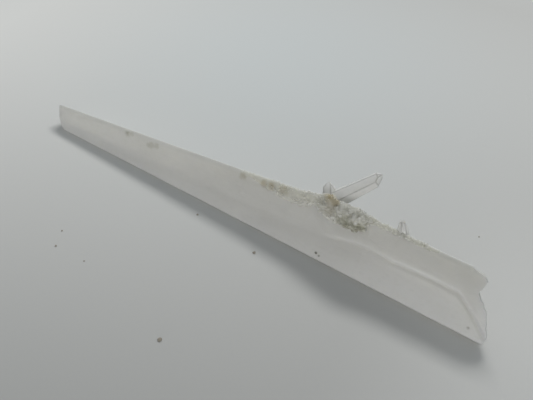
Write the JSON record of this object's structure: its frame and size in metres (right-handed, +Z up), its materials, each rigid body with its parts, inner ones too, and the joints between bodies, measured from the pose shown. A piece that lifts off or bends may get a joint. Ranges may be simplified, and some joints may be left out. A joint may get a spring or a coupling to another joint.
{
  "type": "quartz crystal",
  "caption": "Long tapered milky quartz point lying on a long face, with a parallel overgrowth, a druse crust along its top edge and small side crystals.",
  "frame": {"origin": "middle of the bounding box, on the plane the crystal rests on", "axes": "+X along the crystal from its narrow tip towards its wide broken end, -Y towards the broad front face that carries the ledge, +Z up"},
  "size_m": [0.1267, 0.0156, 0.0207],
  "materials": {
    "milky_quartz": "satin"
  },
  "bodies": {
    "root": {"quartz_crystal": "milky_quartz"}
  },
  "joints": []
}
